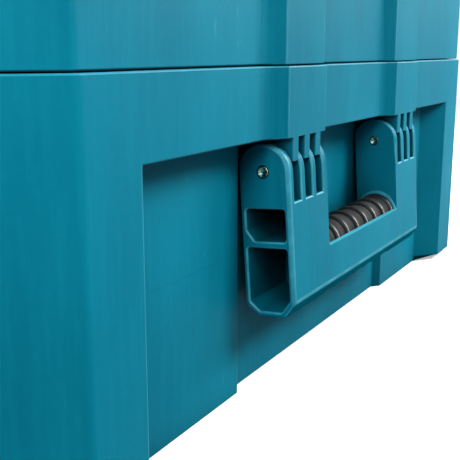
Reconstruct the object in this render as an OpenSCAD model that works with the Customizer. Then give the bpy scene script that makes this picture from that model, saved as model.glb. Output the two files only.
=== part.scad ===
// Stackable hard tool case: hinged lid, four side latches, a swinging front
// handle on interleaved knuckles and a fold-flat handle in the lid.
// Origin at the middle of the base, X along the front, Y to the rear, Z up.

/* [Case] */
// Overall width across the side faces
case_w = 395; // [340:1:460]
// Depth of the shell from front face to rear face
shell_d = 276; // [240:1:330]
// Overall height with the lid closed
case_h = 157; // [150:1:190]
// Height of the ledge where body and lid part
ledge_z = 119; // [114:1:130]
// Moulded wall thickness of the body
wall = 2.6; // [2:0.1:3.2]
// Moulded wall thickness of the lid
lid_wall = 2.4; // [2:0.1:3]
// Run of the corner facet along the front
corner_x = 21; // [17:0.5:24]
// Run of the corner facet along the side
corner_y = 15.8; // [12:0.2:20]
// Rounding of the upright edges of the corner facets
edge_r = 6; // [3:0.5:8]
// Height of the stacking plinth under the body
plinth_h = 2.7; // [2:0.1:4]
// Step from the outer walls in to the plinth
plinth_in = 11; // [9:0.5:13]
// How far the lid stands back from the body's faces
lid_in = 1.2; // [0.8:0.1:2]
// Gap between the lid and the ledge
part_gap = 0.4; // [0.3:0.05:0.8]
// Rounding of the lid's upper edges
lid_r = 6; // [3:0.5:8]
// Depth of the step in the lid that takes the next case's plinth
step_d = 2.2; // [1.5:0.1:3]
// Side gap round the next case's plinth
step_gap = 0.6; // [0.4:0.1:1.5]
// Depth of the sunk panels in the side walls
panel_d = 0.9; // [0.5:0.1:1.2]

/* [Front recess] */
// Height of the lower edge of the upper band
lintel_z = 94.6; // [90:0.2:98]
// Width of the recess at the front face
recess_w = 304.6; // [290:0.2:320]
// Depth of the recess
recess_d = 11.5; // [9:0.5:13]
// Width of the handle bay at the recess wall
bay_w = 159.4; // [154:0.2:170]
// Depth of the handle bay behind the front face
bay_d = 15; // [14:0.5:17]
// Run of the slanted recess ends for each mm of depth
end_slope = 1.16; // [0.8:0.02:1.4]

/* [Pilasters and knuckles] */
// Distance of each pilaster and handle arm from the middle
arm_x = 57.8; // [56:0.2:60]
// Width of a pilaster's front
pilaster_w = 32; // [28:0.5:34]
// How far a pilaster stands out of the front face
pilaster_d = 5.1; // [4:0.1:5.4]
// Run of a pilaster's flanks for each mm it stands out
flank_slope = 1.33; // [1:0.01:1.5]
// Number of knuckles under each pilaster
fins = 3; // [2:1:4]
// Spacing of the knuckles
fin_pitch = 9.7; // [9.4:0.1:9.9]
// Thickness of a knuckle
fin_t = 4.4; // [4:0.1:4.8]
// Side gap between a knuckle and its slot
fin_gap = 0.85; // [0.4:0.05:0.9]
// Radius of a knuckle round the pin
fin_r = 6.3; // [5.5:0.1:7]
// Drop of the knuckle's square shoulder below the band
fin_shoulder = 8.4; // [6:0.2:8.6]

/* [Front handle] */
// Distance of the handle pins behind the front face
pin_set = 4.65; // [4.4:0.05:5]
// Height of the handle pins
pin_z = 82.5; // [82:0.1:83]
// Diameter of the handle pins
pin_d = 4.4; // [4:0.1:5.4]
// Radial running clearance on every hinge pin
run_gap = 0.05; // [0.02:0.01:0.09]
// Outward lean of the hanging handle in degrees
lean = 4; // [2:0.5:4.5]
// Width of a handle arm
arm_w = 33.2; // [32:0.2:34]
// Arm face in front of the pin
arm_front = 10.3; // [9.8:0.1:10.6]
// Arm face behind the pin
arm_back = 9.2; // [8.6:0.1:9.6]
// Drop of the slot floors below the pin
slot_drop = 11; // [10.6:0.1:13]
// Drop of the handle's lowest face below the pin
handle_drop = 52.7; // [50:0.1:58]
// Height of the bevel at the foot of the handle's front
foot_bevel = 5; // [3:0.5:6]
// Drop of the front lip of the crossbar below the pin
lip_drop = 32.3; // [31.5:0.1:33.5]
// Drop of the rear lip of the crossbar below the pin
rear_lip_drop = 38; // [36:0.5:40]
// Wall left round the cored arms
core_wall = 2.2; // [1.6:0.1:3]
// Drop of the top of the upper core below the pin
core_drop = 13.2; // [13:0.2:15]
// Drop of the web between the two cores
web_drop = 26.2; // [25:0.2:28]
// Thickness of the web between the two cores
web_t = 2.4; // [1.8:0.1:3]
// Largest swing of the handle away from its hanging rest
handle_swing = 88; // [60:1:90]

/* [Grip] */
// Radius over the ribs of the soft grip
grip_r = 9; // [8.5:0.1:9.2]
// Drop of the grip's axis below the pin
grip_drop = 34.3; // [34:0.1:35]
// Number of ribs on the front grip
grip_ribs = 8; // [5:1:8]
// Number of ribs on the lid's grip
lid_grip_ribs = 13; // [7:1:13]
// Spacing of the ribs
rib_pitch = 11.1; // [8:0.1:11.1]
// Width of a rib
rib_w = 3; // [2.4:0.1:4]
// Height of the ribs over the sleeve
rib_depth = 1.2; // [0.6:0.1:1.4]
// Length of the plain band at each end of a grip, past the opening it spans
grip_end = 0.4; // [0.2:0.1:0.6]
// Thickness of the collar round each end of the grip
collar_t = 1.1; // [0.8:0.1:1.4]
// How far a collar stands out of its arm
collar_w = 1.3; // [1:0.1:2]

/* [Lid rim and seal] */
// Distance of the rim tongue from the front and rear faces
tongue_in = 5; // [4.6:0.1:6]
// Distance of the rim tongue from the side faces
tongue_side = 20; // [19:0.5:24]
// Thickness of the rim tongue
tongue_t = 2.2; // [1.8:0.1:3]
// Height of the rim tongue
tongue_h = 4; // [3:0.2:5]
// Height of the seal
seal_h = 2.6; // [2:0.1:3.4]
// Free gap over the tongue
seal_gap = 0.3; // [0.2:0.05:0.5]
// Thickness of the body's rim shelf
shelf_t = 3; // [2.4:0.1:4]

/* [Side latches] */
// Distance of the latches from the middle
latch_y = 78; // [60:1:90]
// Width of a latch
latch_w = 46; // [36:1:60]
// Depth of the latch pockets
pocket_d = 15; // [14.5:0.1:16]
// Side gap between a latch and its pocket
latch_gap = 1; // [0.5:0.1:2]
// Side gap between a latch and the lid's pocket, which the lid needs as it turns
lid_latch_gap = 2.6; // [2.2:0.1:4]
// Drop of the latch pin below the ledge
latch_drop = 38; // [34:0.5:44]
// Rise of the hook's underside above the ledge
hook_z = 11; // [10:0.2:13]
// Radius of the latch knuckle
knuckle_r = 4.4; // [4:0.1:4.6]
// Diameter of the latch pins
latch_pin_d = 3; // [2.5:0.1:3.6]
// Thickness of the latch lever
lever_t = 3.2; // [2.6:0.1:3.4]
// How far the hook reaches over its keeper
hook_over = 2.6; // [2:0.1:3]
// Opening of the latches in the rest pose in degrees
latch_rest = 5; // [4.5:0.1:6]
// Thickness of the keeper
keeper_t = 3.5; // [2.5:0.1:4]

/* [Rear hinge] */
// Distance of each hinge from the middle
hinge_x = 105; // [80:1:130]
// Width of the lid's knuckle
hinge_w = 34; // [24:1:50]
// Width of each body knuckle
hinge_ear = 14; // [10:0.5:20]
// Gap between neighbouring knuckles
hinge_gap = 0.5; // [0.3:0.05:1]
// Radius of the hinge knuckles
hinge_r = 4.3; // [4:0.1:5]
// Diameter of the hinge pins
hinge_pin_d = 4; // [3:0.1:4.6]
// Clearance between the knuckles and the walls
hinge_off = 0.6; // [0.5:0.1:1]

/* [Lid handle] */
// Width of the recess in the lid
well_w = 176; // [164:1:200]
// Depth front to rear of the recess in the lid
well_l = 84; // [80:1:100]
// Depth of the recess in the lid
well_d = 25; // [23.5:0.5:26]
// Rounding of the recess corners
well_r = 9; // [4:0.5:14]
// Distance of the recess walls from the lid handle's arms
well_gap = 0.8; // [0.5:0.1:1.2]
// Thickness of the lid handle's arms
bail_t = 13; // [10:0.5:16]
// Distance from the pins to the lid handle's bar
bail_l = 48; // [44:0.5:54]
// Radius of the lid handle's pivot ends
bail_r = 7.5; // [6.5:0.1:8]
// Radius of the bar inside the lid handle's grip
bar_r = 5.5; // [4.5:0.1:6]
// Radius over the ribs of the lid handle's grip
lid_grip_r = 9; // [8:0.1:9.4]
// Diameter of the lid handle's pins
bail_pin_d = 5; // [4:0.1:6]
// Depth of each lid handle pin in its arm
bail_pin_in = 9; // [6:0.5:9.5]

/* [Hidden] */
$fn = 48;
eps = 0.01;
// Largest turn between neighbouring points of a rounded corner, in degrees
arc_step = 9;
teal = [0.10, 0.50, 0.57];
steel = [0.75, 0.76, 0.78];
soft = [0.20, 0.22, 0.22];
half_w = case_w / 2;
front_y = -shell_d / 2;
rear_y = shell_d / 2;
lid_z = ledge_z + part_gap;
pin_y = front_y + pin_set;
slot_w = fin_t + 2 * fin_gap;
arm_deep = arm_front + arm_back;
handle_half = arm_x + arm_w / 2;
opening_half = arm_x - arm_w / 2;
pivot_x = half_w - pocket_d + knuckle_r + 0.6;
pivot_z = ledge_z - latch_drop;
pocket_x = half_w - pocket_d;
pocket_w = latch_w + 2 * latch_gap;
keeper_x = pivot_x - 0.2;
hook_arm = latch_drop + hook_z;
hinge_y = rear_y + hinge_r + hinge_off;
hinge_z = ledge_z + part_gap / 2;
ear_x = hinge_w / 2 + hinge_gap + hinge_ear / 2;
well_y = 0;
bail_y = well_l / 2 - bail_r - 6;
bail_z = case_h - lid_grip_r - 1.4;
bail_x = well_w / 2 - well_gap - bail_t / 2;

// Depth lost or gained by a corner facet's run when its walls move in by t
function shrink(a, b, t) = a - t + t * (sqrt(a * a + b * b) - a) / b;

// Outline of the case in plan, its walls moved in by t
function plan(t, side = 0) =
    let (w = half_w - t - side, f = rear_y - t, a = shrink(corner_x, corner_y, t), b = shrink(corner_y, corner_x, t))
    [[-w + a, -f], [w - a, -f], [w, -f + b], [w, f - b], [w - a, f], [-w + a, f], [-w, f - b], [-w, -f + b]];

function unit(v) = v / norm(v);
// Distance from a corner to where a fillet of radius r meets its sides
function reach(a, b, c, r) = r * sqrt((1 + unit(a - b) * unit(c - b)) / (1 - unit(a - b) * unit(c - b)));
function arc_middle(a, b, c, r) =
    b + unit(unit(a - b) + unit(c - b)) * norm([reach(a, b, c, r), r]);

// Points of the arc of radius r that rounds the corner b between a and c
function round_corner(a, b, c, r) =
    let (m = arc_middle(a, b, c, r), v = b + unit(a - b) * reach(a, b, c, r) - m,
        w = b + unit(c - b) * reach(a, b, c, r) - m, turn = acos(v * w / (r * r)), n = ceil(turn / arc_step))
    [for (i = [0 : n]) m + (sin(turn * (1 - i / n)) * v + sin(turn * i / n) * w) / sin(turn)];

// Closed outline with every corner rounded to radius r
module soft_outline(points, r) {
    n = len(points);
    polygon([for (i = [0 : n - 1])
        each round_corner(points[(i + n - 1) % n], points[i], points[(i + 1) % n], r)]);
}

// Box that is centred in X and Y and starts at height z
module block(w, d, h, x = 0, y = 0, z = 0) {
    translate([x - w / 2, y - d / 2, z]) cube([w, d, h]);
}

// Cylinder along X from x0 to x1 at a given y and z
module rod_x(r, x0, x1, y, z) {
    translate([x0, y, z]) rotate([0, 90, 0]) cylinder(r = r, h = x1 - x0);
}

// Cylinder along Y from y0 to y1 at a given x and z
module rod_y(r, y0, y1, x, z) {
    translate([x, y1, z]) rotate([90, 0, 0]) cylinder(r = r, h = y1 - y0);
}

// Profile drawn in Y and Z, run along X from x0 to x1
module along_x(x0, x1) {
    translate([x0, 0, 0]) rotate([90, 0, 90]) linear_extrude(x1 - x0) children();
}

// Profile drawn in X and Z, run along Y from y0 to y1
module along_y(y0, y1) {
    translate([0, y1, 0]) rotate([90, 0, 0]) linear_extrude(y1 - y0) children();
}

module both_sides() {
    children();
    mirror([1, 0, 0]) children();
}

// Slanted-ended recess in plan, grown by t into the case
module recess_plan(w, y0, d, t = 0) {
    back = w / 2 - end_slope * d + t * (sqrt(1 + end_slope * end_slope) - end_slope);
    mouth = back + end_slope * (d + t + 1);
    polygon([[-mouth, y0 - 1], [mouth, y0 - 1], [back, y0 + d + t], [-back, y0 + d + t]]);
}

// The whole front recess with the deeper handle bay
module front_recess(t = 0) {
    recess_plan(recess_w, front_y, recess_d, t);
    recess_plan(bay_w, front_y + recess_d, bay_d - recess_d, t);
}

// Pilasters in plan on a face at y, their walls moved in by t
module pilaster_plan(y, t = 0) {
    w = pilaster_w / 2 - t * (sqrt(1 + flank_slope * flank_slope) - flank_slope);
    foot = w + flank_slope * (pilaster_d + 1);
    for (side = [-1, 1]) translate([side * arm_x, y + t])
        polygon([[-foot, 1], [-w, -pilaster_d], [w, -pilaster_d], [foot, 1]]);
}

// ---- Body ----

// Space of the latch pockets on one side from z0 to z1, grown by t
module latch_pocket(z0, z1, gap, t = 0) {
    w = latch_w + 2 * gap + 2 * t;
    for (y = [-latch_y, latch_y])
        translate([pocket_x - t, y - w / 2, z0 - t]) cube([pocket_d + t + 1, w, z1 - z0 + 2 * t]);
}

pocket_z = pivot_z - knuckle_r - 4;

module body_outside() {
    linear_extrude(plinth_h + eps) difference() {
        soft_outline(plan(plinth_in), edge_r);
        front_recess();
    }
    translate([0, 0, plinth_h]) linear_extrude(lintel_z - plinth_h + eps) difference() {
        soft_outline(plan(0), edge_r);
        front_recess();
    }
    translate([0, 0, lintel_z]) linear_extrude(ledge_z - lintel_z) {
        soft_outline(plan(0), edge_r);
        pilaster_plan(front_y);
    }
}

module body_inside() {
    translate([0, 0, wall]) linear_extrude(plinth_h + eps) difference() {
        soft_outline(plan(plinth_in + wall), edge_r - wall);
        front_recess(wall);
    }
    translate([0, 0, plinth_h + wall]) linear_extrude(ledge_z - plinth_h - wall - shelf_t) difference() {
        soft_outline(plan(wall), edge_r - wall);
        front_recess(wall);
    }
    translate([0, 0, lintel_z + wall]) linear_extrude(ledge_z - lintel_z - wall - shelf_t) {
        soft_outline(plan(wall), edge_r - wall);
        pilaster_plan(front_y, wall);
    }
    translate([0, 0, lintel_z + wall]) linear_extrude(ledge_z) loop_plan(tongue_t);
}

// Hanging knuckle with a round end about the handle pin
module fin() {
    along_x(-fin_t / 2, fin_t / 2) {
        translate([pin_y, pin_z]) circle(fin_r);
        translate([pin_y, pin_z]) square([front_y + bay_d + eps - pin_y, lintel_z + eps - pin_z]);
        translate([pin_y - fin_r, pin_z]) square([fin_r + eps, lintel_z + eps - pin_z]);
        translate([front_y - pilaster_d, lintel_z - fin_shoulder])
            square([pilaster_d + pin_set + eps, fin_shoulder + eps]);
    }
}

module fin_row() {
    for (side = [-1, 1], i = [0 : fins - 1])
        translate([side * arm_x + (i - (fins - 1) / 2) * fin_pitch, 0, 0]) children();
}

// Outer knuckles of the rear hinge with their gussets
module body_ears() {
    for (side = [-1, 1], ear = [-1, 1])
        along_x(side * hinge_x + ear * ear_x - hinge_ear / 2, side * hinge_x + ear * ear_x + hinge_ear / 2) {
            translate([hinge_y, hinge_z]) circle(hinge_r);
            polygon([[rear_y - eps, ledge_z - part_gap], [hinge_y, ledge_z - part_gap],
                [hinge_y + hinge_r, hinge_z], [hinge_y + hinge_r, hinge_z - 4], [rear_y - eps, hinge_z - 22]]);
        }
}

// Upright stiffening ribs between the hinges
module rear_ribs() {
    for (x = [-3 : 3])
        along_x(x * 22 - 1.2, x * 22 + 1.2)
            polygon([[rear_y - eps, plinth_h + 10], [rear_y + 2, plinth_h + 14], [rear_y + 2, ledge_z - 12],
                [rear_y - eps, ledge_z - 6]]);
}

// Shallow panels between the latches on each side
module side_panels() {
    translate([half_w - panel_d, -latch_y + pocket_w / 2 + 12, plinth_h + 14])
        cube([3, 2 * latch_y - pocket_w - 24, ledge_z - plinth_h - 34]);
}

module body_shell() {
    color(teal) difference() {
        union() {
            difference() {
                body_outside();
                difference() {
                    body_inside();
                    both_sides() latch_pocket(pocket_z, ledge_z, latch_gap, wall);
                }
                both_sides() latch_pocket(pocket_z, ledge_z + 1, latch_gap);
                both_sides() side_panels();
            }
            translate([0, 0, ledge_z - eps]) linear_extrude(tongue_h + eps) difference() {
                loop_plan(0);
                loop_plan(tongue_t);
            }
            fin_row() fin();
            body_ears();
            rear_ribs();
        }
        for (side = [-1, 1])
            rod_x(pin_d / 2, side * arm_x - arm_w / 2, side * arm_x + arm_w / 2, pin_y, pin_z);
        for (side = [-1, 1])
            rod_x(hinge_pin_d / 2, side * hinge_x - ear_x - hinge_ear / 2 + 2,
                side * hinge_x + ear_x + hinge_ear / 2 - 2, hinge_y, hinge_z);
        both_sides() for (y = [-latch_y, latch_y])
            rod_y(latch_pin_d / 2, y - pocket_w / 2 - 1.8, y + pocket_w / 2 + 1.8, pivot_x, pivot_z);
    }
}

// ---- Lid ----

well_floor = case_h - well_d;
lid_pocket_z = ledge_z + hook_z + 11;
top_z = case_h - step_d;
seal_z = ledge_z + tongue_h + seal_gap;

function well_points(t) = [[-well_w / 2 - t, -well_l / 2 - t], [well_w / 2 + t, -well_l / 2 - t],
    [well_w / 2 + t, well_l / 2 + t], [-well_w / 2 - t, well_l / 2 + t]];

module lid_outside() {
    d = rear_y - lid_in;
    w = half_w - lid_in;
    intersection() {
        translate([0, 0, lid_z]) linear_extrude(case_h - lid_z) {
            soft_outline(plan(lid_in), edge_r);
            pilaster_plan(front_y + lid_in);
        }
        along_x(-half_w, half_w) soft_outline([[-d - pilaster_d, 0], [d, 0], [d, case_h], [-d - pilaster_d, case_h]], lid_r);
        along_y(-case_w, case_w) soft_outline([[-w, 0], [w, 0], [w, case_h], [-w, case_h]], lid_r);
    }
}

module lid_inside() {
    t = lid_in + lid_wall;
    translate([0, 0, ledge_z - 1]) linear_extrude(top_z - lid_wall - 3 - ledge_z + 1) {
        soft_outline(plan(t), edge_r - lid_wall);
        pilaster_plan(front_y + lid_in, lid_wall);
    }
    translate([0, 0, ledge_z]) linear_extrude(top_z - lid_wall - ledge_z)
        soft_outline(plan(t + 3), edge_r - lid_wall);
}

// Outline in plan of the loop that the tongue and the seal follow, moved in by t
module loop_plan(t) {
    soft_outline(plan(tongue_in + t, tongue_side - tongue_in), edge_r - lid_wall);
}

// Shelf over the seal and the two lips that hold the seal
module seal_seat() {
    lip = 1.8;
    translate([0, 0, seal_z]) linear_extrude(seal_h + shelf_t / 2) difference() {
        loop_plan(-lip);
        loop_plan(tongue_t + lip);
    }
    translate([0, 0, seal_z + seal_h]) linear_extrude(shelf_t / 2) difference() {
        union() {
            soft_outline(plan(lid_in + lid_wall / 2), edge_r - lid_wall / 2);
            pilaster_plan(front_y + lid_in, lid_wall / 2);
        }
        loop_plan(tongue_t + lip);
    }
}

module seal_ring(grow = 0) {
    translate([0, 0, seal_z - grow]) linear_extrude(seal_h + grow) difference() {
        loop_plan(0);
        loop_plan(tongue_t);
    }
}

// Keeper that each latch hook closes over
module keepers() {
    for (y = [-latch_y, latch_y])
        translate([pocket_x - eps, y - latch_w / 2 - lid_latch_gap - eps, ledge_z + hook_z - 0.4 - keeper_t])
            cube([keeper_x - pocket_x + eps, latch_w + 2 * (lid_latch_gap + eps), keeper_t]);
}

module lid_knuckles() {
    for (side = [-1, 1])
        along_x(side * hinge_x - hinge_w / 2, side * hinge_x + hinge_w / 2) {
            translate([hinge_y, hinge_z]) circle(hinge_r);
            polygon([[rear_y - lid_in - eps, lid_z], [hinge_y, lid_z], [hinge_y + hinge_r, hinge_z],
                [hinge_y + hinge_r, hinge_z + 3], [rear_y - lid_in - eps, hinge_z + 18]]);
        }
}

module lid_shell() {
    color(teal) difference() {
        union() {
            difference() {
                lid_outside();
                difference() {
                    lid_inside();
                    translate([0, 0, well_floor - lid_wall]) linear_extrude(well_d + lid_wall)
                        soft_outline(well_points(lid_wall), well_r + lid_wall);
                    both_sides() latch_pocket(ledge_z - 5, lid_pocket_z, lid_latch_gap, lid_wall);
                    for (side = [-1, 1])
                        rod_x(bail_pin_d / 2 + 3, side * (well_w / 2 + 3) - 3, side * (well_w / 2 + 3) + 3, bail_y, bail_z);
                }
                both_sides() latch_pocket(ledge_z - 5, lid_pocket_z, lid_latch_gap);
                translate([0, 0, well_floor]) linear_extrude(well_d + 1) soft_outline(well_points(0), well_r);
                lid_top_step();
            }
            difference() {
                seal_seat();
                both_sides() latch_pocket(ledge_z - 5, lid_pocket_z, lid_latch_gap);
            }
            both_sides() keepers();
            lid_knuckles();
        }
        seal_ring(1);
        for (side = [-1, 1])
            rod_x(hinge_pin_d / 2 + run_gap, side * hinge_x - hinge_w, side * hinge_x + hinge_w, hinge_y, hinge_z);
        for (side = [-1, 1])
            rod_x(bail_pin_d / 2, side * well_w / 2 - 5, side * well_w / 2 + 5, bail_y, bail_z);
    }
}

// Step in the lid's top that the plinth of the next case sits in
module lid_top_step() {
    translate([0, 0, top_z]) linear_extrude(step_d + 1)
        soft_outline(plan(plinth_in - step_gap), edge_r);
}

module lid_seal() {
    color(soft) seal_ring();
}

// ---- Front handle, drawn hanging straight down from the pin ----

module hang() {
    translate([0, pin_y, pin_z]) rotate([-lean, 0, 0]) children();
}

module handle_profile() {
    difference() {
        union() {
            intersection() {
                circle(arm_front);
                translate([-arm_front, 0]) square([arm_front + arm_back, arm_front]);
            }
            polygon([[-arm_front, 0], [arm_back, 0], [arm_back, -handle_drop + 3.5],
                [arm_back - 5, -handle_drop], [-arm_front + foot_bevel - 1, -handle_drop],
                [-arm_front, -handle_drop + foot_bevel]]);
        }
    }
}

// Outline of the upper core in an arm's outer side
module upper_core() {
    y0 = -arm_front + core_wall + 0.2;
    y1 = arm_back - core_wall + 0.6;
    z1 = -core_drop;
    z0 = -web_drop + web_t / 2;
    soft_outline([[y0, z0], [y1 - 3, z0], [y1, z0 + 4], [y1, z1], [y0, z1]], 1.4);
}

// Outline of the lower core, with its bevelled foot
module lower_core() {
    y0 = -arm_front + core_wall;
    y1 = arm_back - core_wall + 0.8;
    z1 = -web_drop - web_t / 2;
    z0 = -handle_drop + core_wall - 0.4;
    soft_outline([[y0 + 3.4, z0], [y1 - 3.8, z0], [y1, z0 + 3.4], [y1, z1], [y0, z1], [y0, z0 + 4.4]], 1.2);
}

module handle_frame() {
    color(teal) hang() difference() {
        union() {
            both_sides() along_x(opening_half, handle_half) handle_profile();
            difference() {
                along_x(-opening_half - eps, opening_half + eps) handle_profile();
                translate([-opening_half, -arm_front - 1, -lip_drop])
                    cube([2 * opening_half, arm_deep + 2, lip_drop + arm_front + 1]);
                translate([-opening_half, 0, -rear_lip_drop])
                    cube([2 * opening_half, arm_back + 1, rear_lip_drop + arm_front + 1]);
            }
            both_sides() rod_x(grip_r + collar_t, opening_half - collar_w, opening_half + eps, -0.2, -grip_drop);
        }
        rod_x(grip_r, -opening_half - 2, opening_half + 2, -0.2, -grip_drop);
        // knuckle slots
        for (side = [-1, 1], i = [0 : fins - 1])
            translate([side * arm_x + (i - (fins - 1) / 2) * fin_pitch - slot_w / 2, -arm_front - 1, -slot_drop])
                cube([slot_w, arm_deep + 2, slot_drop + arm_front + 1]);
        // pin bores and the shallow counterbores at their outer ends
        both_sides() rod_x(pin_d / 2 + run_gap, opening_half - 1, handle_half + 1, 0, 0);
        both_sides() rod_x(pin_d / 2 + 0.35, handle_half - 0.6, handle_half + 1, 0, 0);
        both_sides() along_x(opening_half + core_wall, handle_half + 1) upper_core();
        both_sides() along_x(opening_half + core_wall, handle_half + 1) lower_core();
        // cores in the crossbar, open below
        for (x = [-3 : 3])
            block(9, arm_deep - 7, 6, x * 11.2, (arm_back - arm_front) / 2, -handle_drop - 1);
    }
}

// Sleeve with raised round ribs, along X and centred, that spans an opening and
// goes on by a tuck into the mouldings at its ends
module ribbed(r, span, tuck, n, bore = 0) {
    band = tuck + grip_end;
    rotate([0, 90, 0]) difference() {
        union() {
            cylinder(r = r - rib_depth, h = span + 2 * tuck, center = true);
            for (i = [0 : n - 1]) translate([0, 0, (i - (n - 1) / 2) * rib_pitch])
                rotate_extrude() translate([r - rib_w / 2, 0]) circle(rib_w / 2);
            for (end = [-1, 1]) translate([0, 0, end * (span / 2 + tuck - band / 2)])
                cylinder(r = r, h = band, center = true);
        }
        if (bore > 0) cylinder(r = bore, h = span + 2 * tuck + 2, center = true);
    }
}

module handle_grip() {
    color(soft) hang() translate([0, -0.2, -grip_drop])
        ribbed(grip_r, 2 * opening_half, 2, grip_ribs);
}

module handle_pin(side) {
    color(steel) rod_x(pin_d / 2, side * arm_x - arm_w / 2 + 0.3, side * arm_x + arm_w / 2 - 0.3, pin_y, pin_z);
}

module handle_pin_left() { handle_pin(-1); }
module handle_pin_right() { handle_pin(1); }

// ---- Side latches, drawn closed on the right side about their pin ----

module latch_profile() {
    out = knuckle_r;
    tip = keeper_x - pivot_x - hook_over;
    circle(knuckle_r);
    polygon([[out - lever_t, 0], [out, 0], [out, hook_arm - 2], [out + 0.7, hook_arm + 7], [out - 0.6, hook_arm + 8],
        [out - lever_t, hook_arm + 4.4], [tip + 2.4, hook_arm + 4.4], [tip, hook_arm + 1.4], [tip, hook_arm],
        [out - lever_t, hook_arm]]);
}

// Cheek that stiffens each side of the lever, clear of the keeper
module latch_cheek() {
    inner = knuckle_r - lever_t;
    polygon([[inner + 1, 2], [-knuckle_r + 1.4, 2], [-knuckle_r + 1.4, hook_arm - 15], [inner, hook_arm - 9],
        [inner + 1, hook_arm - 9]]);
}

module latch(y) {
    color(teal) translate([pivot_x, y, pivot_z]) rotate([0, latch_rest, 0]) difference() {
        union() {
            along_y(-latch_w / 2, latch_w / 2) latch_profile();
            for (side = [-1, 1]) along_y(side * (latch_w / 2 - 1) - 1, side * (latch_w / 2 - 1) + 1) latch_cheek();
        }
        rod_y(latch_pin_d / 2 + run_gap, -latch_w, latch_w, 0, 0);
        // thumb scoop
        translate([knuckle_r + 14, 0, hook_arm - 16]) rotate([90, 0, 0])
            cylinder(r = 15, h = latch_w - 14, center = true, $fn = 96);
    }
}

module latch_right_front() { latch(-latch_y); }
module latch_right_rear() { latch(latch_y); }
module latch_left_front() { mirror([1, 0, 0]) latch(-latch_y); }
module latch_left_rear() { mirror([1, 0, 0]) latch(latch_y); }

module latch_pin(side, y) {
    color(steel) rod_y(latch_pin_d / 2, y - pocket_w / 2 - 1.8, y + pocket_w / 2 + 1.8, side * pivot_x, pivot_z);
}

module latch_pin_left_front() { latch_pin(-1, -latch_y); }
module latch_pin_left_rear() { latch_pin(-1, latch_y); }
module latch_pin_right_front() { latch_pin(1, -latch_y); }
module latch_pin_right_rear() { latch_pin(1, latch_y); }

// ---- Rear hinge pins ----

module hinge_pin(side) {
    color(steel) rod_x(hinge_pin_d / 2, side * hinge_x - ear_x - hinge_ear / 2 + 2,
        side * hinge_x + ear_x + hinge_ear / 2 - 2, hinge_y, hinge_z);
}

module hinge_pin_left() { hinge_pin(-1); }
module hinge_pin_right() { hinge_pin(1); }

// ---- Lid handle, folded flat ----

module lid_handle_frame() {
    bar_y = bail_y - bail_l;
    color(teal) difference() {
        union() {
            for (side = [-1, 1])
                along_x(side * bail_x - bail_t / 2, side * bail_x + bail_t / 2) {
                    translate([bail_y, bail_z]) circle(bail_r);
                    translate([bar_y, bail_z]) circle(lid_grip_r);
                    polygon([[bail_y, bail_z - bail_r + 1], [bail_y, bail_z + bail_r], [bar_y, bail_z + bail_r],
                        [bar_y, bail_z - bail_r + 1]]);
                }
            rod_x(bar_r, -bail_x, bail_x, bar_y, bail_z);
        }
        for (side = [-1, 1])
            rod_x(bail_pin_d / 2 + run_gap, side * bail_x + (side > 0 ? bail_t / 2 - bail_pin_in : -bail_t / 2 - 1),
                side * bail_x + (side > 0 ? bail_t / 2 + 1 : -bail_t / 2 + bail_pin_in), bail_y, bail_z);
    }
}

module lid_handle_grip() {
    color(soft) translate([0, bail_y - bail_l, bail_z])
        ribbed(lid_grip_r, 2 * (bail_x - bail_t / 2), 0, lid_grip_ribs, bar_r);
}

module lid_handle_pin(side) {
    a = bail_x + bail_t / 2 - bail_pin_in + 0.3;
    b = well_w / 2 + 5;
    color(steel) rod_x(bail_pin_d / 2, side > 0 ? a : -b, side > 0 ? b : -a, bail_y, bail_z);
}

module lid_handle_pin_left() { lid_handle_pin(-1); }
module lid_handle_pin_right() { lid_handle_pin(1); }

body_shell();
lid_shell();
lid_seal();
handle_frame();
handle_grip();
handle_pin_left();
handle_pin_right();
latch_left_front();
latch_left_rear();
latch_right_front();
latch_right_rear();
latch_pin_left_front();
latch_pin_left_rear();
latch_pin_right_front();
latch_pin_right_rear();
hinge_pin_left();
hinge_pin_right();
lid_handle_frame();
lid_handle_grip();
lid_handle_pin_left();
lid_handle_pin_right();
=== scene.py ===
import math

import bmesh
import bpy
from mathutils import Matrix, Vector, bvhtree, kdtree


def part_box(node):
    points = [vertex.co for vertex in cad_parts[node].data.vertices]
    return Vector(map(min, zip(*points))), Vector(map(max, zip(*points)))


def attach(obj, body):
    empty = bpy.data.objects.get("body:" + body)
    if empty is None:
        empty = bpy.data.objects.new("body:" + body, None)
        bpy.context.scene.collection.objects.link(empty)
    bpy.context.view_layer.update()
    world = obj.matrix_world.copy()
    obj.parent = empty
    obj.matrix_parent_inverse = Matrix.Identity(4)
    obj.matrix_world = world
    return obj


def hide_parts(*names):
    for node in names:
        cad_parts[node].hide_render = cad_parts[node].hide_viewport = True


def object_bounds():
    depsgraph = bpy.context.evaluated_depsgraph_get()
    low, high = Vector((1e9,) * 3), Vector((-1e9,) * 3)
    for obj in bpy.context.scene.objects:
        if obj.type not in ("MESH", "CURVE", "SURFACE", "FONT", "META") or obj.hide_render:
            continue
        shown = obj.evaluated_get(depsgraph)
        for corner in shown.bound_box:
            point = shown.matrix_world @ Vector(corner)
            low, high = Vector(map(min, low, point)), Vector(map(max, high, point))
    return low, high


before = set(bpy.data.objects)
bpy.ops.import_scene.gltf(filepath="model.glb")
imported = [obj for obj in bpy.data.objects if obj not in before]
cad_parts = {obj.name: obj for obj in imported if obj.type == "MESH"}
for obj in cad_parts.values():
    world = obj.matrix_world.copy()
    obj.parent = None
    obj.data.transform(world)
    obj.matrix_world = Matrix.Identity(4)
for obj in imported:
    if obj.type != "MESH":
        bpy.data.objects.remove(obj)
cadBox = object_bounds()
scene = bpy.context.scene
scene.view_settings.view_transform = "Standard"
mm = 0.001
hair = 0.02 * mm  # lengths below this count as nothing


# selecting and modes

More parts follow.
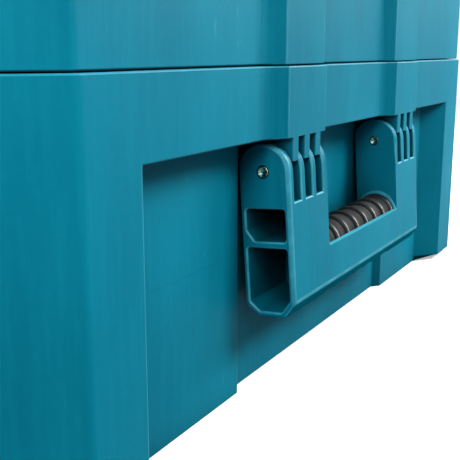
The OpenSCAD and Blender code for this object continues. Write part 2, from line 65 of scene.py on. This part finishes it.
def deselectAll():
    if bpy.context.object and bpy.context.object.mode == "EDIT":
        bpy.ops.object.mode_set(mode="OBJECT")
    bpy.ops.object.select_all(action="DESELECT")


def pickUp(piece):
    deselectAll()
    piece.select_set(True)
    bpy.context.view_layer.objects.active = piece
    return piece


def editMode(kind="FACE"):
    bpy.ops.object.mode_set(mode="EDIT")
    bpy.ops.mesh.select_mode(type=kind)
    bpy.ops.mesh.select_all(action="DESELECT")


def objectMode():
    bpy.ops.object.mode_set(mode="OBJECT")


def settle(piece):
    # the place goes into the mesh, so patterns in object space line up with the CAD
    pickUp(piece)
    bpy.ops.object.transform_apply(location=True, rotation=True, scale=True)
    return piece


def selectFaces(piece, wanted):
    # follows editMode("FACE"), and wanted is asked about each face's middle and normal
    objectMode()
    for face in piece.data.polygons:
        face.select = bool(wanted(face.center, face.normal))
    bpy.ops.object.mode_set(mode="EDIT")


def selectEdges(piece, wanted):
    # follows editMode("EDGE"), and wanted is asked about each edge's two ends
    objectMode()
    points = piece.data.vertices
    for edge in piece.data.edges:
        a, b = (points[i].co for i in edge.vertices)
        edge.select = bool(wanted(a, b))
    bpy.ops.object.mode_set(mode="EDIT")


# node maths for materials

class Wire:
    def __init__(self, tree, socket):
        self.tree, self.socket = tree, socket

    def node(self, kind, out=0, inputs=None, **settings):
        made = self.tree.nodes.new(kind)
        for name, value in settings.items():
            setattr(made, name, value)
        for name, value in (inputs or {}).items():
            plug(self.tree, made.inputs[name], value)
        return Wire(self.tree, made.outputs[out])

    def maths(self, operation, *values):
        return self.node("ShaderNodeMath", operation=operation, inputs=dict(enumerate(values)))

    def __add__(self, other):
        return self.maths("ADD", self, other)

    __radd__ = __add__

    def __sub__(self, other):
        return self.maths("SUBTRACT", self, other)

    def __rsub__(self, other):
        return self.maths("SUBTRACT", other, self)

    def __mul__(self, other):
        return self.maths("MULTIPLY", self, other)

    __rmul__ = __mul__

    def __pow__(self, other):
        return self.maths("POWER", self, other)

    def band(self, low, high, toLow=0.0, toHigh=1.0):
        return self.node("ShaderNodeMapRange", interpolation_type="SMOOTHSTEP", inputs={
            "Value": self, "From Min": low, "From Max": high, "To Min": toLow, "To Max": toHigh})

    def noise(self, scale, detail=3.0, rough=0.5):
        return self.node("ShaderNodeTexNoise", inputs={
            "Vector": self, "Scale": scale, "Detail": detail, "Roughness": rough})

    def stretched(self, x, y, z):
        return self.node("ShaderNodeMapping", inputs={"Vector": self, "Scale": (x, y, z)})

    def axis(self, name):
        return self.node("ShaderNodeSeparateXYZ", out=name, inputs={0: self})

    def blend(self, low, high):
        return self.node("ShaderNodeMix", out=2, data_type="RGBA", inputs={0: self, 6: low, 7: high})


def plug(tree, socket, value):
    if isinstance(value, Wire):
        tree.links.new(value.socket, socket)
    else:
        socket.default_value = value


def colour(red, green, blue):
    # screen values from 0 to 255 to the linear colour a shader wants
    def linear(v):
        v /= 255
        return v / 12.92 if v <= 0.04045 else ((v + 0.055) / 1.055) ** 2.4
    return (linear(red), linear(green), linear(blue), 1.0)


def newMaterial(name, constants, recipe):
    material = bpy.data.materials.new(name)
    material.use_nodes = True
    tree = material.node_tree
    shader = tree.nodes["Principled BSDF"]
    for socket, value in constants.items():
        shader.inputs[socket].default_value = value
    place = Wire(tree, tree.nodes.new("ShaderNodeTexCoord").outputs["Object"])
    for socket, value in recipe(place).items():
        plug(tree, shader.inputs[socket], value)
    return material


def bumpOf(height, strength, distance):
    return height.node("ShaderNodeBump", inputs={
        "Strength": strength, "Distance": distance, "Height": height})


print("stage: frame loaded,", len(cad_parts), "solids")

view = {
    "place": (-0.32195, -0.25987, 0.12403),
    "forward": (0.8501, 0.4790, -0.2187),
    "right": (0.4909, -0.8712, 0.0),
    "pixelsDeep": 800,
    "frameWide": 460,
    "sensorWide": 36,
    "nearest": 0.01,
}


def makeCamera(v):
    bpy.ops.object.camera_add()
    camera = bpy.context.object
    camera.name = "studioCamera"
    forward = Vector(v["forward"]).normalized()
    right = Vector(v["right"]).normalized()
    up = right.cross(forward)
    camera.matrix_world = Matrix((
        (right.x, up.x, -forward.x, v["place"][0]),
        (right.y, up.y, -forward.y, v["place"][1]),
        (right.z, up.z, -forward.z, v["place"][2]),
        (0, 0, 0, 1)))
    camera.data.sensor_width = v["sensorWide"]
    camera.data.lens = v["sensorWide"] * v["pixelsDeep"] / v["frameWide"]
    camera.data.clip_start = v["nearest"]
    scene.camera = camera


makeCamera(view)

studio = {
    "ambient": (0.94, 0.99, 1.05),
    "ambientLevel": 0.12,
    "floorSize": 60.0,
    "floorSeen": (0.9, 0.9, 0.9),
    "floorGlow": (0.42, 0.95),    # near the object and far from it
    "glowSpan": (0.6, 2.6),       # distances between which the glow grows
    "floorMirrored": (0.4, 0.41, 0.42),
    "floorBounce": (0.12, 0.125, 0.13),
    "lamps": [
        # name, place, aims at, size, watts
        ("frontKey", (0.46, -0.93, 0.85), (0.0, -0.13, 0.08), 0.45, 10.0),
        ("rightKey", (0.94, -0.67, 0.59), (0.0, -0.13, 0.08), 0.45, 9.3),
        ("leftNear", (-0.36, -0.2, 0.2), (-0.17, -0.14, 0.09), 0.12, 0.31),
        ("leftFar", (-0.72, -0.62, 0.85), (0.0, -0.13, 0.08), 0.4, 2.4),
        ("rearKey", (0.35, 1.05, 0.8), (0.0, 0.13, 0.08), 0.5, 8.0),
    ],
}


def raysOf(tree, kinds):
    # 1 for rays of these kinds, 0 for the others
    paths = tree.nodes.new("ShaderNodeLightPath")
    shown = Wire(tree, paths.outputs[kinds[0]])
    for kind in kinds[1:]:
        shown = shown.maths("MAXIMUM", shown, Wire(tree, paths.outputs[kind]))
    return shown


def mixShaders(tree, factor, plain, shown):
    mix = tree.nodes.new("ShaderNodeMixShader")
    plug(tree, mix.inputs[0], factor)
    tree.links.new(plain.outputs[0], mix.inputs[1])
    tree.links.new(shown.outputs[0], mix.inputs[2])
    return mix


def paleSurface(tree, tint):
    face = tree.nodes.new("ShaderNodeBsdfDiffuse")
    face.inputs["Color"].default_value = (*tint, 1)
    return face


def makeSurroundings(s):
    # white to look at and in mirrors, a faint even light on the object
    world = bpy.data.worlds.new("studioWorld")
    scene.world = world
    world.use_nodes = True
    tree = world.node_tree
    light = tree.nodes["Background"]
    light.inputs["Color"].default_value = (*s["ambient"], 1)
    light.inputs["Strength"].default_value = s["ambientLevel"]
    white = tree.nodes.new("ShaderNodeBackground")
    white.inputs["Color"].default_value = (1, 1, 1, 1)
    white.inputs["Strength"].default_value = 1.0
    straight = raysOf(tree, ("Is Camera Ray", "Is Glossy Ray", "Is Transmission Ray"))
    shown = mixShaders(tree, straight, light, white)
    tree.links.new(shown.outputs[0], tree.nodes["World Output"].inputs["Surface"])


def makeFloor(s):
    # pale to look at with the object's shadow, dull for the light that it throws back
    deselectAll()
    bpy.ops.mesh.primitive_plane_add(size=s["floorSize"], location=(0, 0, 0))
    floor = settle(bpy.context.object)
    floor.name = "studioFloor"
    paper = bpy.data.materials.new("floorPaper")
    paper.use_nodes = True
    tree = paper.node_tree
    tree.nodes.remove(tree.nodes["Principled BSDF"])
    glow = tree.nodes.new("ShaderNodeEmission")
    spot = Wire(tree, tree.nodes.new("ShaderNodeTexCoord").outputs["Object"])
    away = (spot.axis("X") * spot.axis("X") + spot.axis("Y") * spot.axis("Y")) ** 0.5
    plug(tree, glow.inputs["Strength"], away.band(*s["glowSpan"], *s["floorGlow"]))
    bright = tree.nodes.new("ShaderNodeAddShader")
    tree.links.new(paleSurface(tree, s["floorSeen"]).outputs[0], bright.inputs[0])
    tree.links.new(glow.outputs[0], bright.inputs[1])
    mirrored = mixShaders(tree, raysOf(tree, ("Is Glossy Ray", "Is Transmission Ray")),
                          paleSurface(tree, s["floorBounce"]), paleSurface(tree, s["floorMirrored"]))
    shown = mixShaders(tree, raysOf(tree, ("Is Camera Ray",)), mirrored, bright)
    tree.links.new(shown.outputs[0], tree.nodes["Material Output"].inputs["Surface"])
    floor.data.materials.append(paper)


def hangLamps(s):
    for name, spot, aim, size, watts in s["lamps"]:
        bpy.ops.object.light_add(type="AREA", location=spot)
        lamp = bpy.context.object
        lamp.name = name
        lamp.data.shape = "DISK"
        lamp.data.size = size
        lamp.data.energy = watts
        lamp.visible_camera = False
        lamp.rotation_euler = (Vector(aim) - Vector(spot)).to_track_quat("-Z", "Y").to_euler()


makeSurroundings(studio)
makeFloor(studio)
hangLamps(studio)
print("stage: camera and studio")


def openness(place, reach):
    # 1 on open faces, towards 0 in the gaps and corners; the materials use it to paint shade into the
    # colour there
    return place.node("ShaderNodeAmbientOcclusion", out=1, samples=8, inputs={"Distance": reach})


# the handle's pins, and how far it leans out at rest
swing = {"pinY": -0.13335, "pinZ": 0.0825, "lean": 4.0}

# the upper edge of the handle's crossbar, below the pins and between the arms, and the width of the
# painted highlight and wear along it
lip = {"drop": 0.0323, "halfWide": 0.0412, "wornAndLit": 0.0008}

# fine steps that the joints between mould inserts leave on the plastic
witnessLines = [
    # from x, to x, from y, to y, height, width
    (-0.136, -0.0935, -0.13, -0.11, 0.0534, 0.0005),
    (-0.0735, -0.0420, -0.15, -0.135, 0.0575, 0.0006),
]
witnessFade = 0.6 * mm

tealFinish = {
    "base": (3, 139, 165),
    "deep": (0, 125, 151),
    "pale": (10, 148, 173),
    # lighter colour for scuffs, which is wear, and for eased edges, where it is also a painted
    # highlight
    "rubbedAndLit": (84, 206, 230),
    # painted shade in gaps, hollows and corners: its colour, how far the ambient occlusion looks, and
    # how dark it gets
    "creviceShade": (0, 20, 26),
    "creviceShadeReach": 0.022,
    "creviceShadeDepth": 0.8,
    "flowScale": 14,        # the melt's slow clouds
    "sinkScale": 27,        # sink marks behind the ribs
    "sinkDeep": 50,         # as a multiple of the grain's depth
    "streakScale": 75,
    "combingScale": 520,    # fine upright marks from the mould's release
    "mottleScale": 420,
    "scuffScale": 260,
    "wearScale": 110,
    "grainWide": 0.0004,
    "grainDeep": 0.00002,
    "bump": 0.35,
}


def witness(place):
    # 1 along the witness lines, and 0 away from them
    x, y, z = (place.axis(name) for name in "XYZ")
    marks = 0.0
    for fromX, toX, fromY, toY, height, width in witnessLines:
        along = x.band(fromX, fromX + witnessFade) * x.band(toX - witnessFade, toX, 1.0, 0.0)
        onFace = y.band(fromY, fromY + witnessFade) * y.band(toY - witnessFade, toY, 1.0, 0.0)
        line = z.band(height - width, height) * z.band(height, height + width, 1.0, 0.0)
        marks = along * onFace * line + marks
    return marks


def lipWearAndLight(place):
    # 1 along the crossbar's upper edge; there the lighter colour paints a highlight and the lower
    # roughness stands for the fingers' wear
    turn = math.radians(swing["lean"])
    y, z = place.axis("Y") - swing["pinY"], place.axis("Z") - swing["pinZ"]
    rise = y * math.sin(turn) + z * math.cos(turn) + lip["drop"]
    x, w = place.axis("X"), lip["wornAndLit"]
    between = (x * x).band((lip["halfWide"] - w) ** 2, lip["halfWide"] ** 2, 1.0, 0.0)
    return rise.band(-w, -0.3 * w) * rise.band(0.3 * w, w, 1.0, 0.0) * between


def tealPlastic(edgeWearAndLight, shine=0.0, wornAndLit=None):
    # rubbing 0 is the broad faces; above it, the eased edges take a lighter colour, partly wear and
    # partly a painted highlight
    def recipe(place):
        f = tealFinish
        flow = place.stretched(1.0, 1.0, 0.45).noise(f["flowScale"], 4, 0.55)
        sink = place.stretched(1.0, 1.0, 0.5).noise(f["sinkScale"], 2)
        streak = place.stretched(1.0, 1.0, 0.16).noise(f["streakScale"], 3, 0.6)
        combing = place.stretched(1.0, 1.0, 0.06).noise(f["combingScale"], 2, 0.6)
        mottle = place.noise(f["mottleScale"], 2)
        grain = place.noise(1.0 / f["grainWide"], 2, 0.6)
        pores = place.noise(3.2 / f["grainWide"], 1)
        scuffs = place.stretched(1.0, 1.0, 0.3).noise(f["scuffScale"], 5, 0.7).band(0.62, 0.74)
        scuffs = scuffs * flow.band(0.45, 0.62)

        clouds = flow.band(0.3, 0.7) * 0.4 + sink.band(0.34, 0.66) * 0.6
        tone = clouds.blend(colour(*f["deep"]), colour(*f["base"]))
        lift = streak.band(0.5, 0.72) * 0.25 + mottle.band(0.4, 0.8) * 0.12
        lift = lift + combing.band(0.42, 0.7) * 0.22
        tone = lift.blend(tone, colour(*f["pale"]))
        wearAndLight = scuffs * 0.3
        # the eased edges' lighter colour: wear and a painted highlight
        if edgeWearAndLight:
            wearAndLight = wearAndLight + edgeWearAndLight * place.noise(f["wearScale"], 3, 0.6).band(0.34, 0.66, 0.45, 1.0)
        # painted highlight and wear along a given line, such as the crossbar's lip
        if wornAndLit:
            wearAndLight = wearAndLight + wornAndLit(place) * 0.8
        # the lighter colour: scuffs are wear, and on edges and along the lip it also paints a
        # highlight
        tone = wearAndLight.maths("MINIMUM", wearAndLight, 1.0).blend(tone, colour(*f["rubbedAndLit"]))
        if not edgeWearAndLight:
            tone = (witness(place) * 0.5).blend(tone, colour(*f["deep"]))
        # painted shade: darker where ambient occlusion finds gaps, hollows and corners
        paintedShade = openness(place, f["creviceShadeReach"]).band(0.05, 0.78, f["creviceShadeDepth"], 0.0)
        tone = paintedShade.blend(tone, colour(*f["creviceShade"]))

        rough = streak.band(0.3, 0.7, 0.44, 0.52) + grain.band(0.3, 0.7, -0.03, 0.03)
        rough = rough - wearAndLight * 0.1 - shine
        height = grain + pores * 0.5 + sink * f["sinkDeep"]
        return {"Base Color": tone, "Roughness": rough,
                "Normal": bumpOf(height, f["bump"], f["grainDeep"])}
    return recipe


gripFinish = {
    "valley": (13, 15, 15),
    "crest": (66, 69, 69),
    # painted shade on the grip's top, under the lip
    "upper": (14, 20, 18),
    "dust": (96, 99, 99),
    # pale crest tops at the lower front: a painted glint on wear-smoothed rubber
    "wornAndLit": (176, 168, 166),
    "valleyRadius": 0.0077,
    "crestRadius": 0.0089,
    "topFrom": 0.0001,                # the pale, smoother top (painted glint and wear) starts this far under the crest's radius
    "topOver": 0.00012,               # and is full this far over it
    "glintAndWearBelow": (0.0058, 0.0076),    # heights over the axis between which the painted glint and the wear end
    "shadedAbove": (0.006, 0.0086),     # and between which the painted shade on the top begins
    "gapReach": 0.012,
    "dustScale": 900,
    "turnedScale": 750,
    "turnedDeep": 0.00005,
}


def gripRubber(axisY, axisZ):
    # the valleys between the ribs are darker than the crests, dust lies over both, and the crest tops
    # at the lower front are smoother with a pale colour that paints a glint; the top and the gaps get
    # painted shade
    def recipe(place):
        f = gripFinish
        low, high = f["valleyRadius"], f["crestRadius"]
        up, back = place.axis("Z") - axisZ, place.axis("Y") - axisY
        out = (up * up + back * back) ** 0.5
        crest = out.band(low, high)
        lowerFront = up.band(*f["glintAndWearBelow"], 1.0, 0.0)
        top = out.band(high - f["topFrom"], high + f["topOver"]) * lowerFront
        dust = place.noise(f["dustScale"], 4, 0.7)
        turned = place.stretched(1.0, 0.06, 0.06).noise(f["turnedScale"], 3, 0.7)

        lift = crest * 0.25 + turned.band(0.42, 0.58) * 0.75
        tone = lift.blend(colour(*f["valley"]), colour(*f["crest"]))
        tone = (dust.band(0.55, 0.75) * 0.25).blend(tone, colour(*f["dust"]))
        # painted shade over the grip's top
        tone = up.band(*f["shadedAbove"], 0.0, 0.6).blend(tone, colour(*f["upper"]))
        # painted glint on the worn crest tops at the lower front
        tone = (top * dust.band(0.38, 0.5) * 0.75).blend(tone, colour(*f["wornAndLit"]))
        # painted shade in the gaps round the grip, towards the valley colour
        paintedShade = openness(place, f["gapReach"]).band(0.1, 0.75, 0.85, 0.0)
        tone = paintedShade.blend(tone, colour(*f["valley"]))

        rough = crest.band(0.0, 1.0, 0.78, 0.7) - top * 0.36 + turned.band(0.3, 0.7, -0.05, 0.05)
        return {"Base Color": tone, "Roughness": rough,
                "Normal": bumpOf(turned + dust * 0.4, 0.5, f["turnedDeep"])}
    return recipe


sealFinish = {
    "dark": (22, 23, 24),
    "pale": (40, 42, 43),
    "skinScale": 700,
    "poreScale": 2400,
    "poreDeep": 0.00003,
}


def sealRubber(place):
    f = sealFinish
    skin = place.noise(f["skinScale"], 3)
    return {"Base Color": skin.blend(colour(*f["dark"]), colour(*f["pale"])),
            "Roughness": skin.band(0.3, 0.7, 0.6, 0.72),
            "Normal": bumpOf(place.noise(f["poreScale"], 2), 0.3, f["poreDeep"])}


steelFinish = {
    # bright and dull: pale patches that paint glints, and a teal tint that paints the teal plastic's
    # reflection on the metal
    "bright": (176, 206, 192),
    "tealReflected": (30, 98, 94),
    "ends": (14, 40, 40),    # painted shade where the pin sinks into its bore
    "gapReach": 0.003,
    "plateScale": 1500,
    "turnedScale": 3600,
    "plateDeep": 0.0001,
}


def pinSteel(place):
    f = steelFinish
    glintMottle = place.noise(f["plateScale"], 3, 0.65)
    turned = place.noise(f["turnedScale"], 2)
    # painted reflection of the teal plastic, mottled with painted glints
    tone = glintMottle.band(0.4, 0.6).blend(colour(*f["tealReflected"]), colour(*f["bright"]))
    # painted shade at the pin's ends, from ambient occlusion
    paintedShade = openness(place, f["gapReach"]).band(0.1, 0.7, 0.8, 0.0)
    return {"Base Color": paintedShade.blend(tone, colour(*f["ends"])),
            "Roughness": turned.band(0.3, 0.7, 0.2, 0.42),
            "Normal": bumpOf(glintMottle + turned * 0.3, 0.8, f["plateDeep"])}


def mouldedMaterial(name, sheen, recipe):
    return newMaterial(name, {"IOR": 1.46, "Specular IOR Level": sheen}, recipe)


teal = mouldedMaterial("tealPlastic", 0.1, tealPlastic(0))
# the handle's broad faces, with a painted highlight and wear along the lip
tealHandle = mouldedMaterial("tealHandle", 0.1, tealPlastic(0, 0.0, lipWearAndLight))
# eased edges in a lighter colour that paints their highlight as well as wear
tealEdge = mouldedMaterial("tealEdge", 0.3, tealPlastic(0.18))
tealRim = mouldedMaterial("tealRim", 0.35, tealPlastic(0.62, 0.03))
tealUnder = mouldedMaterial("tealUnder", 0.0, tealPlastic(0))
steel = newMaterial("pinSteel", {"Metallic": 1.0}, pinSteel)
rubberSeal = newMaterial("sealRubber", {"IOR": 1.5}, sealRubber)
print("stage: finishes")


# mouldings: a merged copy of each shell and frame, with eased edges

merging = {"weld": 0.000005, "flatWithin": 0.6}    # metres, degrees

edging = {
    "sharpOver": 33,               # degrees that an edge turns by
    "passes": (1.0, 0.7, 0.35),    # shares of the easing, each for the edges that the last one left
    "smoothUnder": 34,             # degrees, where faces shade into each other
    "faceWeight": 100,
    "tries": 4,
    "spacing": 0.5,                # mm between the spots that stand for an edge
    "crowding": 0.9,               # mm round a crossing in which edges are left alone
}

# the crisp bores: the axis they run along, their middle across it, and their radius
bores = [
    ("X", -0.13335, 0.0825, 0.0031),
    ("X", 0.1429, 0.1192, 0.0031),
    ("X", 0.0285, 0.1466, 0.0036),
    ("Y", -0.1875, 0.081, 0.0023),
    ("Y", 0.1875, 0.081, 0.0023),
]


def mergedCopy(node, name):
    piece = bpy.data.objects.new(name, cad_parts[node].data.copy())
    scene.collection.objects.link(piece)
    pickUp(piece)
    editMode("VERT")
    bpy.ops.mesh.select_all(action="SELECT")
    bpy.ops.mesh.remove_doubles(threshold=merging["weld"])
    bpy.ops.mesh.dissolve_limited(angle_limit=math.radians(merging["flatWithin"]))
    objectMode()
    piece.data.materials.clear()
    return piece


def inBore(point):
    for axis, u, v, radius in bores:
        across = point.y if axis == "X" else point.x
        if math.hypot(across - u, point.z - v) < radius:
            return True
    return False


def sharpEdges(mesh):
    # the ends of each edge that turns sharply, by the edge's number
    beside, found = {}, {}
    for face in mesh.polygons:
        for key in face.edge_keys:
            beside.setdefault(key, []).append(face.normal)
    for edge in mesh.edges:
        normals = beside.get(edge.key, [])
        a, b = (mesh.vertices[i].co.copy() for i in edge.vertices)
        if len(normals) != 2 or (b - a).length < hair or inBore((a + b) / 2):
            continue
        if normals[0].angle(normals[1], 0.0) > math.radians(edging["sharpOver"]):
            found[edge.index] = (a, b)
    return found


def crossingSpots(mesh):
    # corners of the faces that run through others that they share no corner with
    shape = bmesh.new()
    shape.from_mesh(mesh)
    bmesh.ops.triangulate(shape, faces=shape.faces[:])
    shape.faces.ensure_lookup_table()
    tree = bvhtree.BVHTree.FromBMesh(shape, epsilon=0.0)
    spots = []
    for i, j in tree.overlap(tree):
        pair = sorted((shape.faces[i], shape.faces[j]), key=lambda face: face.calc_area())
        if i < j and not set(pair[0].verts) & set(pair[1].verts):
            spots += [corner.co.copy() for corner in pair[0].verts]
    shape.free()
    return spots


def edgesNear(spots, edges):
    # the numbers of the edges that pass close to a spot
    marks, owners = [], []
    for index, (a, b) in edges.items():
        steps = int((b - a).length / (edging["spacing"] * mm)) + 2
        marks += [a.lerp(b, (i + 0.5) / steps) for i in range(steps)]
        owners += [index] * steps
    tree = kdtree.KDTree(len(marks))
    for number, mark in enumerate(marks):
        tree.insert(mark, number)
    tree.balance()
    reach = edging["crowding"] * mm
    return {owners[number] for spot in spots for _, number, _ in tree.find_range(spot, reach)}


def easeEdges(piece, easing, edges, segments=2):
    # where eased edges would run through each other, those edges are left for a finer pass
    untouched = piece.data.copy()
    for attempt in range(edging["tries"]):
        pickUp(piece)
        editMode("EDGE")
        objectMode()
        for index in edges:
            piece.data.edges[index].select = True
        bpy.ops.object.mode_set(mode="EDIT")
        bpy.ops.mesh.bevel(offset=easing * mm, segments=segments, affect="EDGES", clamp_overlap=False,
                           loop_slide=False, miter_outer="SHARP", material=1)
        objectMode()
        spots = crossingSpots(piece.data)
        if not spots:
            return
        crowded = edgesNear(spots, edges)
        edges = {index: ends for index, ends in edges.items() if index not in crowded}
        piece.data = untouched.copy()
    print("   left sharp:", piece.name)


def plainHollows(piece):
    # only edges that stand proud keep the lighter edge colour, a painted highlight as well as wear, so
    # the eased hollow corners go back to the plain finish
    shape = bmesh.new()
    shape.from_mesh(piece.data)
    for face in shape.faces:
        turn = sum(edge.calc_face_angle_signed(0.0) * edge.calc_length() for edge in face.edges)
        if face.material_index == 1 and turn < 0:
            face.material_index = 0
    shape.to_mesh(piece.data)
    shape.free()


def finishMoulding(piece, node, body):
    # a mitred corner can stand a hair past the solids, so it is brought back to their whole box
    for corner in piece.data.vertices:
        corner.co = [min(max(c, low), high) for c, low, high in zip(corner.co, *cadBox)]
    pickUp(piece)
    bpy.ops.object.shade_smooth_by_angle(angle=math.radians(edging["smoothUnder"]))
    weighing = piece.modifiers.new("faceWeight", "WEIGHTED_NORMAL")
    weighing.keep_sharp = True
    weighing.weight = edging["faceWeight"]
    bpy.ops.object.modifier_apply(modifier=weighing.name)
    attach(piece, body)
    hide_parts(node)
    print("  ", piece.name, len(piece.data.polygons), "faces")


# the upright hollow edges at the foot of each pilaster, on the shells' front
flare = {
    "fromX": 0.03,
    "toX": 0.1,
    "behindY": -0.13,
    "leastTall": 0.004,
    "turn": (-44, -20),    # degrees, hollow edges only
    "width": 2.8,
    "steps": 6,
}


def flareEdges(mesh):
    shape = bmesh.new()
    shape.from_mesh(mesh)
    least, most = (math.radians(angle) for angle in flare["turn"])
    found = {}
    for edge in shape.edges:
        a, b = edge.verts[0].co.copy(), edge.verts[1].co.copy()
        upright = math.hypot(a.x - b.x, a.y - b.y) < hair and abs(a.z - b.z) > flare["leastTall"]
        ahead = max(a.y, b.y) < flare["behindY"] and flare["fromX"] < abs(a.x) < flare["toX"]
        if not upright or not ahead or len(edge.link_faces) != 2:
            continue
        if least < edge.calc_face_angle_signed(0.0) < most:
            found[edge.index] = (a, b)
    shape.free()
    return found


# the round top and the front of each handle arm, on its outer face
armRim = {
    "outX": 0.0744,
    "front": 0.0103,       # how far the arm's front lies before the pins
    "frontDeep": 0.4,      # mm behind it that still count as front
    "width": 1.5,
    "steps": 4,
}


def rimEdges(mesh):
    r, found = armRim, {}
    turn = Matrix.Rotation(math.radians(swing["lean"]), 3, "X")
    for index, (a, b) in sharpEdges(mesh).items():
        if min(abs(a.x), abs(b.x)) < r["outX"] - hair:
            continue
        spot = turn @ ((a + b) / 2 - Vector((0, swing["pinY"], swing["pinZ"])))
        if spot.z > 0 or spot.y < r["frontDeep"] * mm - r["front"]:
            found[index] = (a, b)
    return found


handleFaces = {
    "underFacing": -0.4,    # a face's normal counts as down below this
    "underBelow": 0.045,
    "collarFrom": 0.0396,
    "collarTo": 0.0412,
    "collarRadius": 0.0104,
}


def dressHandle(piece):
    # no sheen under the foot, and the collars round the grip's ends take the rim finish, whose lighter
    # colour paints a highlight along them as well as wear
    h = handleFaces
    lowest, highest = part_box("handle_grip")
    gripMiddle = (lowest + highest) / 2
    for face in piece.data.polygons:
        spot = face.center
        out = math.hypot(spot.y - gripMiddle.y, spot.z - gripMiddle.z)
        if face.normal.z < h["underFacing"] and spot.z < h["underBelow"]:
            face.material_index = 2
        elif h["collarFrom"] < abs(spot.x) < h["collarTo"] and out < h["collarRadius"]:
            face.material_index = 1


mouldings = {
    "caseBody": {"node": "body_shell", "body": "case", "slot": "shell_plastic", "easing": 0.5},
    "caseLid": {"node": "lid_shell", "body": "lid", "slot": "shell_plastic", "easing": 0.5},
    "frontHandle": {"node": "handle_frame", "body": "handle", "slot": "handle_plastic", "easing": 0.6},
    "lidHandle": {"node": "lid_handle_frame", "body": "lid_handle",
                  "slot": "handle_plastic", "easing": 0.7},
    "latchLeftFront": {"node": "latch_left_front", "body": "latch_left_front",
                       "slot": "latch_plastic", "easing": 0.4},
    "latchLeftRear": {"node": "latch_left_rear", "body": "latch_left_rear",
                      "slot": "latch_plastic", "easing": 0.4},
    "latchRightFront": {"node": "latch_right_front", "body": "latch_right_front",
                        "slot": "latch_plastic", "easing": 0.4},
    "latchRightRear": {"node": "latch_right_rear", "body": "latch_right_rear",
                       "slot": "latch_plastic", "easing": 0.4},
}

for name, m in mouldings.items():
    isShell, isHandle = m["slot"] == "shell_plastic", name == "frontHandle"
    piece = mergedCopy(m["node"], name)
    # broad faces, eased edges, and on the front handle the foot's underside
    for finish in (tealHandle, tealRim, tealUnder) if isHandle else (teal, tealEdge):
        piece.data.materials.append(finish)
    if isShell:
        easeEdges(piece, flare["width"], flareEdges(piece.data), flare["steps"])
    if isHandle:
        easeEdges(piece, armRim["width"], rimEdges(piece.data), armRim["steps"])
    for share in edging["passes"]:
        easeEdges(piece, m["easing"] * share, sharpEdges(piece.data))
    plainHollows(piece)
    if isHandle:
        dressHandle(piece)
    finishMoulding(piece, m["node"], m["body"])
print("stage: mouldings")


# pins, with eased ends and a punched dimple, in mm
pinShape = {
    "sides": 48,
    "easingSteps": 3,
    "cupWide": 0.3,
    "cupDeep": 0.15,
    "endFacing": 0.999,    # the ends' faces look along the pin
    "smoothUnder": 30,     # degrees
}

pinKinds = {
    "handlePin": {"nodes": ("handle_pin_left", "handle_pin_right"),
                  "body": "case", "easing": 0.45, "dimple": 0.8, "sunk": 0.4},
    "hingePin": {"nodes": ("hinge_pin_left", "hinge_pin_right"),
                 "body": "case", "easing": 0.4, "dimple": 0.8, "sunk": 0.3},
    "latchPin": {"nodes": ("latch_pin_left_front", "latch_pin_left_rear",
                           "latch_pin_right_front", "latch_pin_right_rear"),
                 "body": "case", "easing": 0.3, "dimple": 0.6, "sunk": 0.2},
    "lidPin": {"nodes": ("lid_handle_pin_left", "lid_handle_pin_right"),
               "body": "lid", "easing": 0.4, "dimple": 0.8, "sunk": 0.3},
}


def modelPin(name, node, kind):
    p = pinShape
    lowest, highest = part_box(node)
    size, middle = highest - lowest, (lowest + highest) / 2
    along = 0 if size.x > size.y else 1
    lying = (0, math.pi / 2, 0) if along == 0 else (math.pi / 2, 0, 0)
    deselectAll()
    bpy.ops.mesh.primitive_cylinder_add(vertices=p["sides"], radius=size.z / 2, depth=size[along],
                                        location=middle, rotation=lying)
    piece = settle(bpy.context.object)
    piece.name = name
    far = size[along] / 2 - hair

    def roundAnEnd(a, b):
        return abs(a[along] - middle[along]) > far and abs(a[along] - b[along]) < hair

    pickUp(piece)
    editMode("EDGE")
    selectEdges(piece, roundAnEnd)
    bpy.ops.mesh.bevel(offset=kind["easing"] * mm, segments=p["easingSteps"], affect="EDGES")
    editMode("FACE")
    selectFaces(piece, lambda spot, normal: abs(normal[along]) > p["endFacing"])
    bpy.ops.mesh.inset(thickness=kind["dimple"] * mm, depth=-kind["sunk"] * mm, use_individual=True)
    bpy.ops.mesh.inset(thickness=p["cupWide"] * mm, depth=-p["cupDeep"] * mm, use_individual=True)
    objectMode()
    bpy.ops.object.shade_smooth_by_angle(angle=math.radians(p["smoothUnder"]))
    piece.data.materials.append(steel)
    return piece


for kindName, kind in pinKinds.items():
    first = modelPin(kindName + "1", kind["nodes"][0], kind)
    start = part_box(kind["nodes"][0])
    for number, node in enumerate(kind["nodes"], 1):
        piece = first
        if number > 1:
            piece = bpy.data.objects.new(kindName + str(number), first.data.copy())
            scene.collection.objects.link(piece)
            lowest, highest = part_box(node)
            piece.data.transform(Matrix.Translation((lowest + highest - start[0] - start[1]) / 2))
        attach(piece, kind["body"])
        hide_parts(node)
print("stage: pins")


# grips and seal, whose shapes are the solids' own
for node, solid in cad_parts.items():
    if node == "lid_seal":
        solid.data.materials.clear()
        solid.data.materials.append(rubberSeal)
    elif "grip" in node:
        lowest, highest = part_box(node)
        middle = (lowest + highest) / 2
        rubber = newMaterial(node + "Rubber", {"IOR": 1.5, "Specular IOR Level": 0.2},
                             gripRubber(middle.y, middle.z))
        solid.data.materials.clear()
        solid.data.materials.append(rubber)
print("stage: grips and seal")
